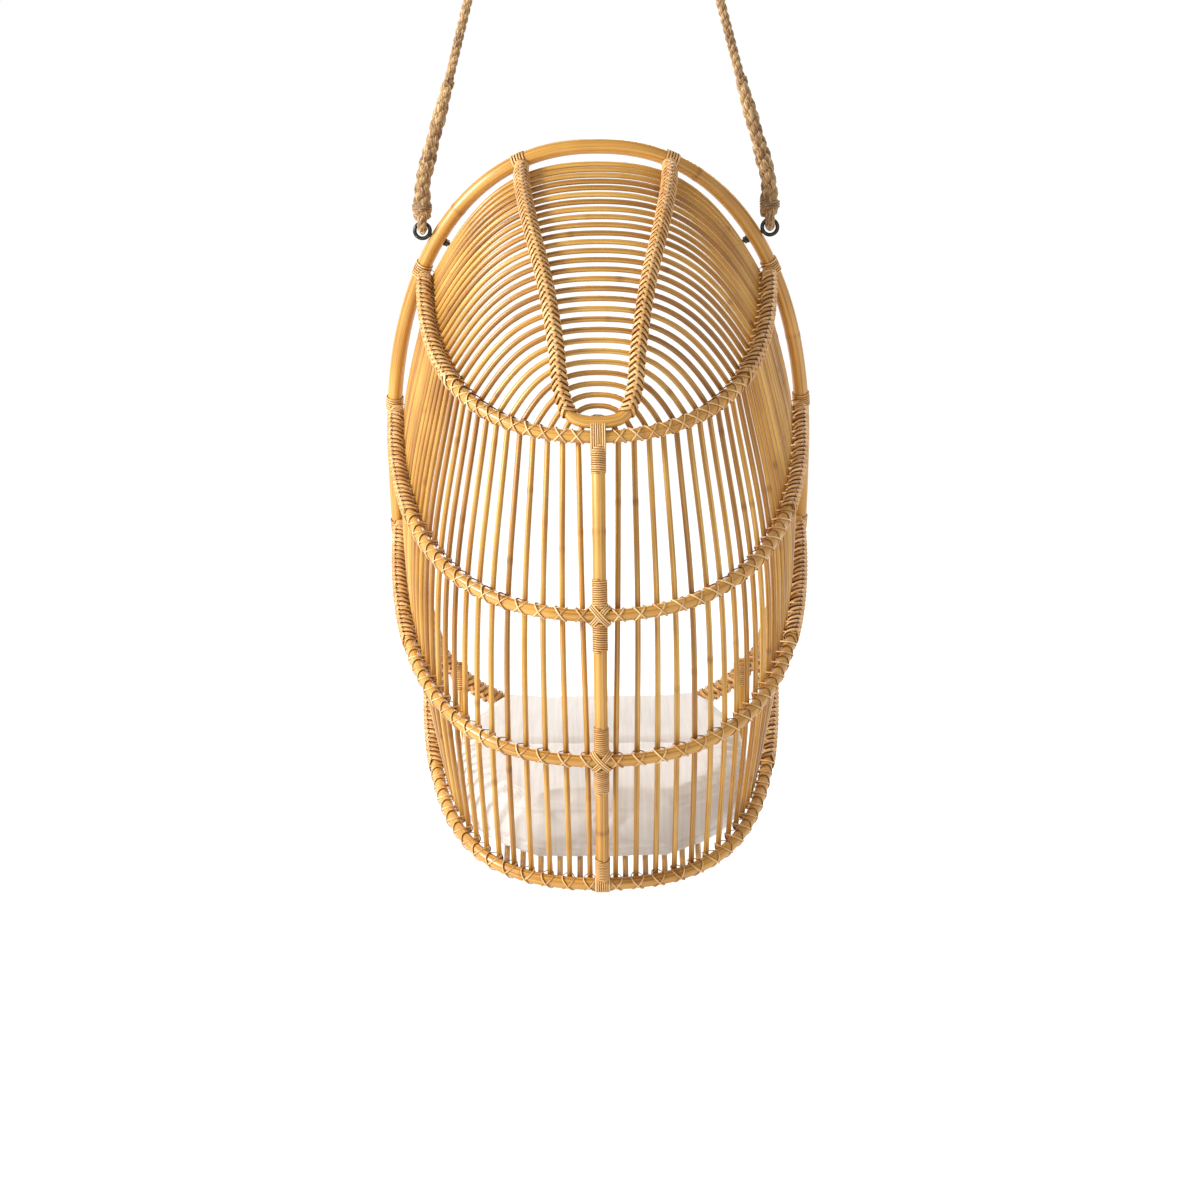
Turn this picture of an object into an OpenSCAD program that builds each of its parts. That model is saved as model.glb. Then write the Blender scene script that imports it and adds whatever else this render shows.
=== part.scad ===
// Hanging rattan chair: a bent-pole pod on two ropes, with a loose seat cushion.
// Millimetres, +Z up. The origin is the hanging point: midway between the two ceiling
// plates, on the ceiling plane. The open front of the chair faces -Y.
// The chair's own heights are counted from the underside of its base hoop.

/* [Rim] */
// Half width of the rim at its widest, to the middle of the pole
rim_half_width = 346; // [300:1:400]
// Distance along the rim's plane from its widest level up to the top
rim_up = 576; // [480:1:640]
// Distance along the rim's plane from its widest level down to the bottom
rim_down = 521; // [440:1:580]
// How far the rim's plane leans back from the vertical, in degrees
rim_lean = 22; // [16:1:28]
// Height of the rim's widest level over the underside of the base hoop
rim_height = 637; // [600:1:680]
// Radius of the rim pole
rim_r = 12.5; // [10:0.5:15]

/* [Poles and canes] */
// Radius of the bent ribs, the base hoop, the seat hoop and the crown loop
rib_r = 10; // [9:0.5:12]
// Radius of the back struts
strut_r = 10.4; // [9:0.2:12]
// Radius of one spoke cane
spoke_r = 4.4; // [3:0.1:4.6]
// Number of spoke canes
spoke_count = 29; // [9:1:29]
// Number of deck canes under the cushion
deck_count = 11; // [5:2:11]
// Radius of one deck cane
deck_r = 5; // [4:0.5:6]

/* [Cushion] */
// Width of the seat cushion at its widest
cushion_w = 495; // [440:5:520]
// Depth of the seat cushion, front to back
cushion_d = 520; // [460:5:530]
// Thickness of the seat cushion
cushion_t = 104; // [80:1:116]
// Slope of the seat cushion down towards the back, in degrees
cushion_slope = 8; // [6:1:9]

/* [Ropes and fittings] */
// Distance from the ceiling down to the underside of the base hoop
hang_drop = 1600; // [1560:5:1700]
// Radius of the rope
rope_r = 8; // [6:0.5:9]
// Radius of a ceiling plate
plate_r = 38; // [34:1:50]
// Radius of the screw holes in a ceiling plate
screw_hole_r = 2.6; // [2:0.1:3]
// Radius of the circle of screw holes
screw_circle_r = 27; // [24:1:30]

/* [Hidden] */
gap = 0.4;
// middle of the back at the base hoop, rib 3, rib 2 and rib 1, as [y, height]
back_points = [[280, 16], [372, 236], [387, 465], [352, 737]];
// distance down the rim's plane from its widest level to the hoop's and ribs' rim ends
end_levels = [-365, -118, 106, 362];
// distance along each rib from the middle of the back to the first spoke
first_gaps = [20, 22, 27, 31];
// distance from the last spoke to the surface's edge on the legs and over the hood
last_gaps = [16, 22];
// how square the corners of the hoop and the ribs are; 0.55 is an ellipse
squareness = [0.78, 0.70, 0.66, 0.66];
hood_slope = 24;
hood_handle_low = 205;
hood_handle_high = 175;
crown_up = [0, -0.17, 0.985];
// how full each cane's arch over the hood is, at its two inner handles
hood_round = [0.7, 0.8, 0.45];
rim_power_up = 2.25;
rim_power_down = 2.9;
surface_inset = 20;
spoke_sides = 6;
pole_sides = 8;
rope_sides = 10;
rim_sides = 10;
rim_rings = 80;
rib_steps = 14;

eye_ring_r = 12.5;
eye_wire_r = 3.2;
eye_level = 415;
bolt_hole_r = 3.3;
bolt_r = 3;
washer_r = 6.5;
washer_t = 1.6;
nut_r = 5.8;
nut_t = 5;
loop_rope_r = 5.5;
loop_clear = 1.5;
loop_r = eye_wire_r + loop_clear + loop_rope_r;
loop_leg = 34;
low_loop_leg = 18;
splice_r = 14.5;
splice_top_r = 10;
// the rope's route on the left, from the lower loop to the upper one, as [x, height];
// the splice covers it up to splice_last, and the plain rope the rest
rope_route = [[283, 1065], [282, 1110], [271, 1155], [254, 1215], [237, 1275],
    [220, 1340], [203, 1405], [192, 1448]];
splice_last = 4;
route_steps = 3;
top_splice_r = 12;
top_splice_len = 50;
hook_ring_r = 17;
hook_wire_r = 4.5;
top_loop_r = hook_wire_r + loop_clear + loop_rope_r;
plate_t = 5;
hook_stem_r = 6;

base_bottom = -hang_drop;

spoke_names = [for (i = [1 : spoke_count]) str("spoke_", i < 10 ? "0" : "", i)];

// ---- small vector and curve functions

function unit(v) = v / norm(v);
function signed_pow(v, p) = sign(v) * pow(abs(v), p);
function flip_x(v) = [-v.x, v.y, v.z];
function reversed(list) = [for (i = [len(list) - 1 : -1 : 0]) list[i]];

// point at parameter t on the cubic through handles p
function bezier(p, t) =
    pow(1 - t, 3) * p[0] + 3 * pow(1 - t, 2) * t * p[1]
    + 3 * (1 - t) * t * t * p[2] + pow(t, 3) * p[3];

// table of [share of the length, t] along a cubic, for lookup()
table_steps = 16;
function running(lengths, i = 0, total = 0) =
    i == len(lengths) ? [total] : concat([total], running(lengths, i + 1, total + lengths[i]));
function bezier_sums(p) = running([
    for (i = [1 : table_steps]) norm(bezier(p, i / table_steps) - bezier(p, (i - 1) / table_steps))]);
function share_table(p) = let (sums = bezier_sums(p), total = sums[table_steps])
    [for (i = [0 : table_steps]) [sums[i] / total, i / table_steps]];
function bezier_length(p) = bezier_sums(p)[table_steps];

// smooth curve through a list of points: steps pieces between each pair
function knot_gap(a, b) = sqrt(norm(b - a));
function leave_slope(p0, p1, p2) = let (a = knot_gap(p0, p1), b = knot_gap(p1, p2))
    b * ((p1 - p0) / a - (p2 - p0) / (a + b) + (p2 - p1) / b);
function arrive_slope(p1, p2, p3) = let (b = knot_gap(p1, p2), c = knot_gap(p2, p3))
    b * ((p2 - p1) / b - (p3 - p1) / (b + c) + (p3 - p2) / c);
function curve_piece(pts, i, t) = let (
    p1 = pts[i],
    p2 = pts[i + 1],
    m1 = i > 0 ? leave_slope(pts[i - 1], p1, p2) : p2 - p1,
    m2 = i < len(pts) - 2 ? arrive_slope(p1, p2, pts[i + 2]) : p2 - p1)
    (2 * pow(t, 3) - 3 * t * t + 1) * p1 + (pow(t, 3) - 2 * t * t + t) * m1
    + (3 * t * t - 2 * pow(t, 3)) * p2 + (pow(t, 3) - t * t) * m2;
function smooth_path(pts, steps) = concat(
    [for (i = [0 : len(pts) - 2], k = [0 : steps - 1]) curve_piece(pts, i, k / steps)],
    [pts[len(pts) - 1]]);

// ---- a round bar swept along a path; ref is a vector that is never along the path,
// and r one radius or a list with one for each point

function path_dir(path, i, closed) = let (n = len(path))
    closed ? unit(path[(i + 1) % n] - path[(i + n - 1) % n])
    : unit(path[min(i + 1, n - 1)] - path[max(i - 1, 0)]);
function ring(p, dir, ref, r, sides) = let (
    u = unit(ref - (ref * dir) * dir),
    v = cross(dir, u))
    [for (j = [0 : sides - 1]) p + r * (cos(360 * j / sides) * u + sin(360 * j / sides) * v)];

module bar(path, r, sides, ref, closed = false) {
    n = len(path);
    radii = is_list(r) ? r : [for (p = path) r];
    pts = [for (i = [0 : n - 1]) each ring(path[i], path_dir(path, i, closed), ref, radii[i], sides)];
    spans = closed ? n : n - 1;
    walls = [for (i = [0 : spans - 1], j = [0 : sides - 1]) let (
        a = i * sides + j,
        b = i * sides + (j + 1) % sides,
        c = ((i + 1) % n) * sides + (j + 1) % sides,
        d = ((i + 1) % n) * sides + j)
        each [[a, d, c], [a, c, b]]];
    start_cap = [for (j = [0 : sides - 1]) j];
    end_cap = [for (j = [sides - 1 : -1 : 0]) (n - 1) * sides + j];
    polyhedron(pts, closed ? walls : concat(walls, [start_cap, end_cap]), convexity = 10);
}

// ---- places in the chair: x, y as in the row frame, height over the base's underside

function place(p) = [p.x, p.y, p.z + base_bottom];
function place_all(path) = [for (p = path) place(p)];

// the rim is an egg-shaped oval in a leaning plane; angle 0 is its widest level
rim_up_dir = [0, sin(rim_lean), cos(rim_lean)];
rim_front_dir = [0, -cos(rim_lean), sin(rim_lean)];
function rim_power(angle) = sin(angle) >= 0 ? rim_power_up : rim_power_down;
function rim_reach(angle) = sin(angle) >= 0 ? rim_up : rim_down;
function rim_flat(angle) = let (p = 2 / rim_power(angle))
    [rim_half_width * signed_pow(cos(angle), p), rim_reach(angle) * signed_pow(sin(angle), p)];
function rim_normal(angle) = let (p = 2 - 2 / rim_power(angle), n = unit(
    [signed_pow(cos(angle), p) / rim_half_width, signed_pow(sin(angle), p) / rim_reach(angle)]))
    [n.x, 0, 0] + n.y * rim_up_dir;
eye_reach = rim_r + gap + eye_ring_r + eye_wire_r;
bolt_angle = rim_angle(eye_level);
rim_middle = [0, -eye_level * sin(rim_lean) - eye_reach * rim_normal(bolt_angle).y, rim_height];
function rim_point(angle) = let (f = rim_flat(angle)) rim_middle + [f.x, 0, 0] + f.y * rim_up_dir;
// angle at a level measured along the rim's plane
function rim_angle(level) = let (p = (level >= 0 ? rim_power_up : rim_power_down) / 2)
    asin(signed_pow(level / (level >= 0 ? rim_up : rim_down), p));
function surface_edge(angle) = rim_point(angle) - surface_inset * rim_normal(angle);

// ---- the surface that the spokes lie on

// from the middle of the back out to the rim at each of the four bent hoops
function hoop_curve(k) = let (
    middle = [0, back_points[k].x, back_points[k].y],
    end = surface_edge(rim_angle(end_levels[k])),
    depth = [0, middle.y - end.y, middle.z - end.z])
    [middle, middle + [squareness[k] * end.x, 0, 0], end + squareness[k] * depth, end];
// up the middle of the hood, from where rib 1 crosses the back to the rim's top
hood_middle = let (rib = hoop_curve(3), end = surface_edge(90))
    [rib[0], rib[0] + hood_handle_low * crown_up,
     end + hood_handle_high * [0, cos(hood_slope), -sin(hood_slope)], end];

stations = concat([for (k = [0 : 3]) hoop_curve(k)], [hood_middle]);
station_tables = [for (s = stations) share_table(s)];
station_lengths = [for (s = stations) bezier_length(s)];
function station_first(k) = first_gaps[min(k, 3)];
function station_last(k) = last_gaps[k < 4 ? 0 : 1];
function station_point(k, share) = bezier(stations[k], lookup(share, station_tables[k]));
// share of a station's length at which spoke i crosses it
leg_spreads = [0.22, 0.22, 0.28, 0.28];
function spoke_share(k, i) = let (
    u = (i - 1) / (spoke_count - 1),
    w = k < 4 ? u + leg_spreads[k] * u * (1 - u) : u,
    first = station_first(k),
    len = station_lengths[k])
    (first + (len - first - station_last(k)) * w) / len;

// outward direction of the surface at a station
function outward(k, share) = let (
    along = station_point(k, min(1, share + 0.02)) - station_point(k, max(0, share - 0.02)),
    low = station_point(max(0, k - 1), share),
    high = station_point(min(3, k + 1), share))
    unit(cross(high - low, along));

// ---- paths

foot_run = 8;
// half a cane's arch over the hood: share 0 on rib 1 and share 1 on the hood's middle
function hood_handles(i) = let (
    a = station_point(3, spoke_share(3, i)),
    b = station_point(4, spoke_share(4, i)),
    corner = [0, a.y, a.z],
    out = a - corner,
    up = b - corner)
    [a, corner + hood_round[0] * out + hood_round[1] * up, corner + hood_round[2] * out + up, b];
function hood_point(i, share) = bezier(hood_handles(i), share);
function spoke_path(i) = let (
    knots = [for (k = [0 : 3]) station_point(k, spoke_share(k, i))],
    leg = concat([knots[0] + foot_run * unit(knots[0] - knots[1])], knots),
    leg_steps = 3,
    hood_steps = 8,
    half = concat(
        [for (k = [0 : 3], s = [0 : leg_steps - 1]) curve_piece(leg, k, s / leg_steps)],
        [for (s = [0 : hood_steps - 1]) hood_point(i, s / hood_steps)]))
    concat(half, [hood_point(i, 1)], reversed([for (p = half) flip_x(p)]));

// a hoop lies on the outside of the spokes and ends against the back of the rim
hoop_lift = rib_r + spoke_r + 4 * gap;
function hoop_half(k) = [for (i = [0 : rib_steps])
    let (share = i / rib_steps) station_point(k, share) + hoop_lift * outward(k, share)];
function behind_rim(p) = -(p - rim_middle) * rim_front_dir;
function hoop_half_cut(k) = [for (p = hoop_half(k)) if (behind_rim(p) > rim_r + 8) p];
function end_at_rim(last, beyond) = let (
    dir = unit(beyond - last),
    travel = (behind_rim(last) - rim_r - 2 * gap) / (dir * rim_front_dir))
    last + travel * dir;
function hoop_path(k) = let (
    kept = hoop_half_cut(k),
    beyond = hoop_half(k)[rib_steps],
    half = concat(kept, [end_at_rim(kept[len(kept) - 1], beyond)]))
    concat(reversed([for (i = [1 : len(half) - 1]) flip_x(half[i])]), half);

// ---- bent poles

module rim() {
    path = [for (i = [0 : rim_rings - 1]) rim_point(360 * i / rim_rings)];
    color("#c98f3a") difference() {
        bar(place_all(path), rim_r, rim_sides, rim_front_dir, closed = true);
        for (side = [1, -1]) bolt_frame(side) cylinder(r = bolt_hole_r, h = 60, center = true, $fn = 32);
    }
}

module hoop(k) {
    path = place_all(hoop_path(k));
    color("#d7a050") bar(path, rib_r, pole_sides, [0, 0.5, 0.87]);
}
module base_hoop() { hoop(0); }
module rib_3() { hoop(1); }
module rib_2() { hoop(2); }
module rib_1() { hoop(3); }

// the narrow loop from the rim's top down the hood to just above rib 1
// each point is a cane's number and a share of its arch
crown_points = [[29, 0.64], [26.6, 0.64], [20.5, 0.675], [13.2, 0.722], [7.7, 0.69],
    [3.7, 0.49], [1.9, 0.33]];
crown_bottom_share = (2 * rib_r + 1.5) / station_lengths[4];
function hood_outward(i, share) = unit(cross(
    hood_point(i, share + 0.02) - hood_point(i, share - 0.02),
    hood_point(i + 0.2, share) - hood_point(i - 0.2, share)));
function crown_place(i, share) = hood_point(i, share) + hoop_lift * hood_outward(i, share);
module crown_loop() {
    placed = [for (c = crown_points) crown_place(c.x, c.y)];
    right = concat([end_at_rim(placed[1], placed[0])], [for (i = [1 : len(placed) - 1]) placed[i]]);
    bottom = station_point(4, crown_bottom_share) + hoop_lift * [0, 0.985, 0.17];
    pts = concat(right, [bottom], reversed([for (p = right) flip_x(p)]));
    color("#c98f3a") bar(place_all(smooth_path(pts, 4)), rib_r, pole_sides, [0, 1, 0.2]);
}

// the seat hoop hangs from the rim's lower sides and carries the front of the deck
seat_hoop_level = -425;
seat_hoop_bottom = [-190, 62];
seat_hoop_power = 5;
seat_hoop_behind = 14;
seat_hoop_end = surface_edge(rim_angle(seat_hoop_level));
function seat_hoop_point(angle) = let (
    p = 2 / seat_hoop_power,
    side = signed_pow(sin(angle), p),
    drop = pow(cos(angle), p))
    [seat_hoop_end.x * side,
     seat_hoop_end.y + seat_hoop_behind + (seat_hoop_bottom.x - seat_hoop_end.y - seat_hoop_behind) * drop,
     seat_hoop_end.z + (seat_hoop_bottom.y - seat_hoop_end.z) * drop];
module seat_hoop() {
    color("#c98f3a") bar(place_all(seat_path), rib_r, pole_sides, [0, 1, 0.3]);
}

// ---- back struts: one pole between each pair of hoops, in the hoops' own layer

function hoop_middle(k) = station_point(k, 0) + hoop_lift * outward(k, 0.001);
function strut_path(k) = let (
    low = hoop_middle(k),
    high = hoop_middle(k + 1),
    bulge = 8,
    dir = unit(high - low),
    reach = rib_r + gap,
    steps = 6,
    out = unit([0, -dir.z, dir.y]) * -1)
    [for (i = [0 : steps]) let (t = i / steps)
        low + reach * dir + (norm(high - low) - 2 * reach) * t * dir + bulge * 4 * t * (1 - t) * out];
module strut(k) {
    color("#d7a050") bar(place_all(strut_path(k)), strut_r, pole_sides, [0, 1, 0]);
}
module back_strut_upper() { strut(2); }
module back_strut_middle() { strut(1); }
module back_strut_lower() { strut(0); }

// coiled cane round the ends of each strut
wrap_t = 2;
wrap_share = 0.13;
module strut_wraps() {
    color("#e0b884") for (k = [0 : 2], end = [0, 1]) {
        path = place_all(strut_path(k));
        n = len(path) - 1;
        a = end == 0 ? path[0] : path[n];
        b = end == 0 ? path[1] : path[n - 1];
        len = norm(path[n] - path[0]) * wrap_share;
        from_to(a + unit(b - a), a + len * unit(b - a)) difference() {
            cylinder(r = strut_r + wrap_t, h = len - 1, $fn = 40);
            translate([0, 0, -1]) cylinder(r = strut_r + 0.15, h = len + 1, $fn = 40);
        }
    }
}

// stands its children's +Z along the line from a to b
module from_to(a, b) {
    d = unit(b - a);
    translate(a) rotate([0, acos(d.z), atan2(d.y, d.x)]) children();
}

// ---- spokes and deck

module spoke(i) {
    color(i % 2 == 0 ? "#c79a45" : "#b98a38")
        bar(place_all(spoke_path(i)), spoke_r, spoke_sides, [0, 0.94, 0.34]);
}

// the middle deck cane starts beside the lower strut, and the others between two spoke
// feet; in front they all lie across the seat hoop
deck_fan = 1.05;
deck_drop = 8;
deck_overhang = 14;
function deck_share(j) = j == 0 ? 0 : (spoke_share(0, j) + spoke_share(0, j + 1)) / 2;
seat_path = [for (i = [-15 : 15]) seat_hoop_point(90 * i / 15)];
function seat_at(x) = [
    x,
    lookup(x, [for (p = seat_path) [p.x, p.y]]),
    lookup(x, [for (p = seat_path) [p.x, p.z]])];
function seat_up(x) = let (d = seat_at(x + 4) - seat_at(x - 4)) unit([-d.z, 0, d.x]);
module deck_canes() {
    rise = rib_r + deck_r + gap;
    half = (deck_count - 1) / 2;
    color("#c79a45") for (i = [-half : half]) {
        side = i < 0 ? -1 : 1;
        back = station_point(0, deck_share(abs(i)));
        start = [side * back.x, back.y, back.z - deck_drop * abs(i) / half];
        x = deck_fan * start.x;
        over = seat_at(x) + rise * seat_up(x);
        dir = unit(over - start);
        path = place_all([start, (start + over) / 2, over + deck_overhang * dir]);
        bar(path, deck_r, spoke_sides, [0, 0, 1]);
    }
}

// ---- eye bolts in the rim

function bolt_dir(side) = let (n = rim_normal(bolt_angle)) [side * n.x, n.y, n.z];
function bolt_point(side) = let (p = rim_point(bolt_angle)) [side * p.x, p.y, p.z];
function eye_centre(side) = bolt_point(side) + eye_reach * bolt_dir(side);
// the loop bears on the top of the eye
function eye_bearing(side) = eye_centre(side) + [0, 0, eye_ring_r];

// +Z along the bolt, outwards, with the origin at the rim pole's middle
module bolt_frame(side) {
    p = place(bolt_point(side));
    from_to(p, p + bolt_dir(side)) children();
}
// a torus in the upright plane across the chair
module upright_ring(centre, r, wire_r) {
    translate(centre) rotate([90, 0, 0])
        rotate_extrude($fn = 48) translate([r, 0]) circle(r = wire_r, $fn = 24);
}
module eye_bolt(side) {
    tail = rim_r + washer_t + nut_t + 5;
    bolt_len = tail + rim_r + gap + eye_wire_r;
    color("#4a4a48") union() {
        upright_ring(place(eye_centre(side)), eye_ring_r, eye_wire_r);
        bolt_frame(side) translate([0, 0, -tail]) cylinder(r = bolt_r, h = bolt_len, $fn = 32);
    }
}
module eye_bolt_left() { eye_bolt(1); }
module eye_bolt_right() { eye_bolt(-1); }

module rim_washers() {
    color("#5a5a58") for (side = [1, -1]) bolt_frame(side)
        translate([0, 0, -rim_r - gap - washer_t]) difference() {
            cylinder(r = washer_r, h = washer_t, $fn = 40);
            translate([0, 0, -1]) cylinder(r = bolt_hole_r, h = washer_t + 2, $fn = 32);
        }
}
module rim_nuts() {
    color("#5a5a58") for (side = [1, -1]) bolt_frame(side)
        translate([0, 0, -rim_r - gap - washer_t - 0.1 - nut_t]) difference() {
            cylinder(r = nut_r, h = nut_t, $fn = 6);
            translate([0, 0, -1]) cylinder(r = bolt_r + 0.05, h = nut_t + 2, $fn = 32);
        }
}

// ---- ropes

rope_line = smooth_path([for (p = rope_route) [p.x, 0, p.y]], route_steps);
splice_rings = splice_last * route_steps;
function on_side(side, path) = [for (p = path) [side * p.x, p.y, p.z]];
route_end = rope_line[len(rope_line) - 1];
route_end_dir = unit(route_end - rope_line[len(rope_line) - 2]);
function beyond_route(side, run) = on_side(side, [route_end + run * route_end_dir])[0];
function hook_bearing(side) = beyond_route(side, top_splice_len + loop_leg);
function hook_centre(side) = beyond_route(side, top_splice_len + loop_leg + hook_ring_r);
top_tilt = atan2(-route_end_dir.x, route_end_dir.z);

module rope(side) {
    path = [for (i = [splice_rings : len(rope_line) - 1]) rope_line[i]];
    color("#94703f") bar(place_all(on_side(side, path)), rope_r, rope_sides, [0, 1, 0]);
}
module rope_left() { rope(1); }
module rope_right() { rope(-1); }

// rope bent round a wire, with both legs ending inside the splice;
// +Z runs along the rope away from the wire, and the loop lies in the Y-Z plane
loop_sides = 8;
module rope_loop(bend_r, leg) {
    throat = loop_rope_r + 0.3;
    inside = leg + 5;
    bend = [for (a = [0 : 20 : 180]) [0, bend_r * cos(a), -bend_r * sin(a)]];
    path = concat([[0, throat, inside], [0, throat, leg]], bend,
        [[0, -throat, leg], [0, -throat, inside]]);
    bar(path, loop_rope_r, loop_sides, [1, 0, 0]);
}
module splice_low(side) {
    path = [for (i = [0 : splice_rings]) rope_line[i]];
    radii = [for (i = [0 : splice_rings])
        splice_r + (splice_top_r - splice_r) * i / splice_rings];
    color("#86633a") union() {
        translate(place(eye_bearing(side))) rope_loop(loop_r, low_loop_leg);
        bar(place_all(on_side(side, path)), radii, rope_sides, [0, 1, 0]);
    }
}
module rope_splice_left() { splice_low(1); }
module rope_splice_right() { splice_low(-1); }

module splice_top(side) {
    path = [for (run = [0, top_splice_len]) beyond_route(side, run)];
    color("#86633a") union() {
        translate(place(hook_bearing(side))) rotate([0, 180 - side * top_tilt, 0]) rope_loop(top_loop_r, loop_leg);
        bar(place_all(path), [splice_top_r, top_splice_r], rope_sides, [0, 1, 0]);
    }
}
module top_splice_left() { splice_top(1); }
module top_splice_right() { splice_top(-1); }

// ---- ceiling fittings

module ceiling_plate(side) {
    centre = place(hook_centre(side));
    stem_foot = centre.z + hook_ring_r;
    color("#4a4a48") union() {
        difference() {
            translate([centre.x, 0, -plate_t]) cylinder(r = plate_r, h = plate_t, $fn = 64);
            for (a = [45 : 90 : 315])
                translate([centre.x + screw_circle_r * cos(a), screw_circle_r * sin(a), 0])
                    cylinder(r = screw_hole_r, h = 3 * plate_t, center = true, $fn = 32);
        }
        upright_ring(centre, hook_ring_r, hook_wire_r);
        translate([centre.x, 0, stem_foot])
            cylinder(r = hook_stem_r, h = 0.5 - plate_t - stem_foot, $fn = 32);
    }
}
module ceiling_plate_left() { ceiling_plate(1); }
module ceiling_plate_right() { ceiling_plate(-1); }

// ---- seat cushion: a rounded slab that narrows towards its front and its back

cushion_front = -282;
cushion_front_height = 107;
cushion_edge_r = 26;
function cushion_half_width(v) = let (
    back = pow(max(0, (v - 0.35) / 0.65), 3.6) * 0.5,
    front = pow(max(0, (0.35 - v) / 0.35), 1.3) * 0.25)
    cushion_w / 2 * (1 - back - front);
function cushion_outline(inset) = let (
    steps = 9,
    right = [for (i = [0 : steps]) let (v = i / steps)
        [cushion_half_width(v) - inset, inset + (cushion_d - 2 * inset) * v]])
    concat(right, reversed([for (p = right) [-p.x, p.y]]));
module seat_cushion() {
    // each level's inset from the full outline, and its height in the cushion
    low = [for (a = [-90 : 30 : 0]) [cushion_edge_r * (1 - cos(a)), cushion_edge_r * (1 + sin(a))]];
    levels = concat(low, reversed([for (l = low) [l.x, cushion_t - l.y]]));
    outline_count = len(cushion_outline(0));
    pts = [for (l = levels) each [for (q = cushion_outline(l.x)) [q.x, q.y, l.y]]];
    n = len(levels);
    walls = [for (i = [0 : n - 2], j = [0 : outline_count - 1]) let (
        a = i * outline_count + j,
        b = i * outline_count + (j + 1) % outline_count,
        c = b + outline_count,
        d = a + outline_count)
        each [[a, d, c], [a, c, b]]];
    low_cap = [for (j = [0 : outline_count - 1]) j];
    top_cap = [for (j = [outline_count - 1 : -1 : 0]) (n - 1) * outline_count + j];
    color("#e9e6e4") translate(place([0, cushion_front, cushion_front_height]))
        rotate([-cushion_slope, 0, 0]) polyhedron(pts, concat(walls, [low_cap, top_cap]), convexity = 4);
}

// ---- every node is drawn only from here

rim();
crown_loop();
rib_1();
rib_2();
rib_3();
base_hoop();
seat_hoop();
back_strut_upper();
back_strut_middle();
back_strut_lower();
strut_wraps();
for (i = [1 : spoke_count]) spoke(i);
deck_canes();
eye_bolt_left();
eye_bolt_right();
rim_washers();
rim_nuts();
rope_left();
rope_right();
rope_splice_left();
rope_splice_right();
top_splice_left();
top_splice_right();
ceiling_plate_left();
ceiling_plate_right();
seat_cushion();
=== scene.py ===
"""Looks of a hanging rattan chair: bent poles, curved canes, cane lashings, ropes, cushion."""

import math
import random

import bpy
from mathutils import Matrix, Vector


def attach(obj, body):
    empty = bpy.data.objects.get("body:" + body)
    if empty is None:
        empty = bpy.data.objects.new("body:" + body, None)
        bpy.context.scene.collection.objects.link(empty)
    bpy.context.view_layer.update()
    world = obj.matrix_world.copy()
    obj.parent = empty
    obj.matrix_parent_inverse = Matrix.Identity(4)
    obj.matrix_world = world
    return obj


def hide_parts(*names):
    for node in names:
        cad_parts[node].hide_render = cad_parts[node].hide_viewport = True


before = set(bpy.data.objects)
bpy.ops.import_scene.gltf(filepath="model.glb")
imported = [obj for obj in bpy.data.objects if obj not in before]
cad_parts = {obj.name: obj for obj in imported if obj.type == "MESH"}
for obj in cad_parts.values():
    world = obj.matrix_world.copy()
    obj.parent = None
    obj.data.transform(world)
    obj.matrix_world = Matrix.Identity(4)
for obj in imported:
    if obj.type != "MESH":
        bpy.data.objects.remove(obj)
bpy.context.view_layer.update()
random.seed(7)
MM = 0.001

# ---- camera: behind the chair, ten degrees above level

FLOOR_Z, FLOOR_REACH = -1.745, 60
CAMERA_DISTANCE = 5.5
AIM = Vector((0, 0, -1.181))
camera_data = bpy.data.cameras.new("camera")
camera_data.sensor_width = 36
camera_data.lens = 99
camera = bpy.data.objects.new("camera", camera_data)
bpy.context.scene.collection.objects.link(camera)
elevation = math.radians(10)
roll = math.radians(-0.6)
back = Vector((0, math.cos(elevation), math.sin(elevation)))
camera.location = AIM + CAMERA_DISTANCE * back
turn = (-back).to_track_quat("-Z", "Y").to_matrix() @ Matrix.Rotation(roll, 3, "Z")
camera.rotation_euler = turn.to_euler()
bpy.context.scene.camera = camera

# ---- sizes shared with the CAD, in millimetres; heights are over the base hoop's underside

HANG_DROP = 1600
RIM_HALF_WIDTH, RIM_UP, RIM_DOWN = 346, 576, 521
RIM_LEAN = math.radians(22)
RIM_HEIGHT = 637
RIM_R, RIB_R, STRUT_R, SPOKE_R, DECK_R = 12.5, 10, 10.4, 4.4, 5
SPOKES, DECK_CANES = 29, 11
GAP = 0.4
BACK_POINTS = [(280, 16), (372, 236), (387, 465), (352, 737)]
END_LEVELS = [-365, -118, 106, 362]
FIRST_GAPS = [20, 22, 27, 31]
LAST_GAPS = [16, 22]
LEG_SPREADS = [0.22, 0.22, 0.28, 0.28]
SQUARENESS = [0.78, 0.70, 0.66, 0.66]
HOOD_SLOPE = math.radians(24)
HOOD_LOW, HOOD_HIGH = 205, 175
CROWN_UP = Vector((0, -0.17, 0.985))
HOOD_ROUND = (0.7, 0.8, 0.45)
RIM_POWER_UP, RIM_POWER_DOWN = 2.25, 2.9
SURFACE_INSET = 20
EYE_RING_R, EYE_WIRE_R, EYE_LEVEL = 12.5, 3.2, 415
ROPE_R, LOOP_ROPE_R, LOOP_CLEAR, LOOP_LEG = 8, 5.5, 1.5, 34
LOW_LOOP_LEG, LOW_LOOP_R, EYE_CLEAR = 18, LOOP_ROPE_R + 2.6, 0.4
LOOP_PITCH = 30 * MM
SPLICE_R, SPLICE_TOP_R, TOP_SPLICE_LEN = 14.5, 10, 50
STRANDS = 3
HOOK_WIRE_R = 4.5
ROPE_ROUTE = [
    (283, 1065), (282, 1110), (271, 1155), (254, 1215), (237, 1275),
    (220, 1340), (203, 1405), (192, 1448),
]
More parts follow.
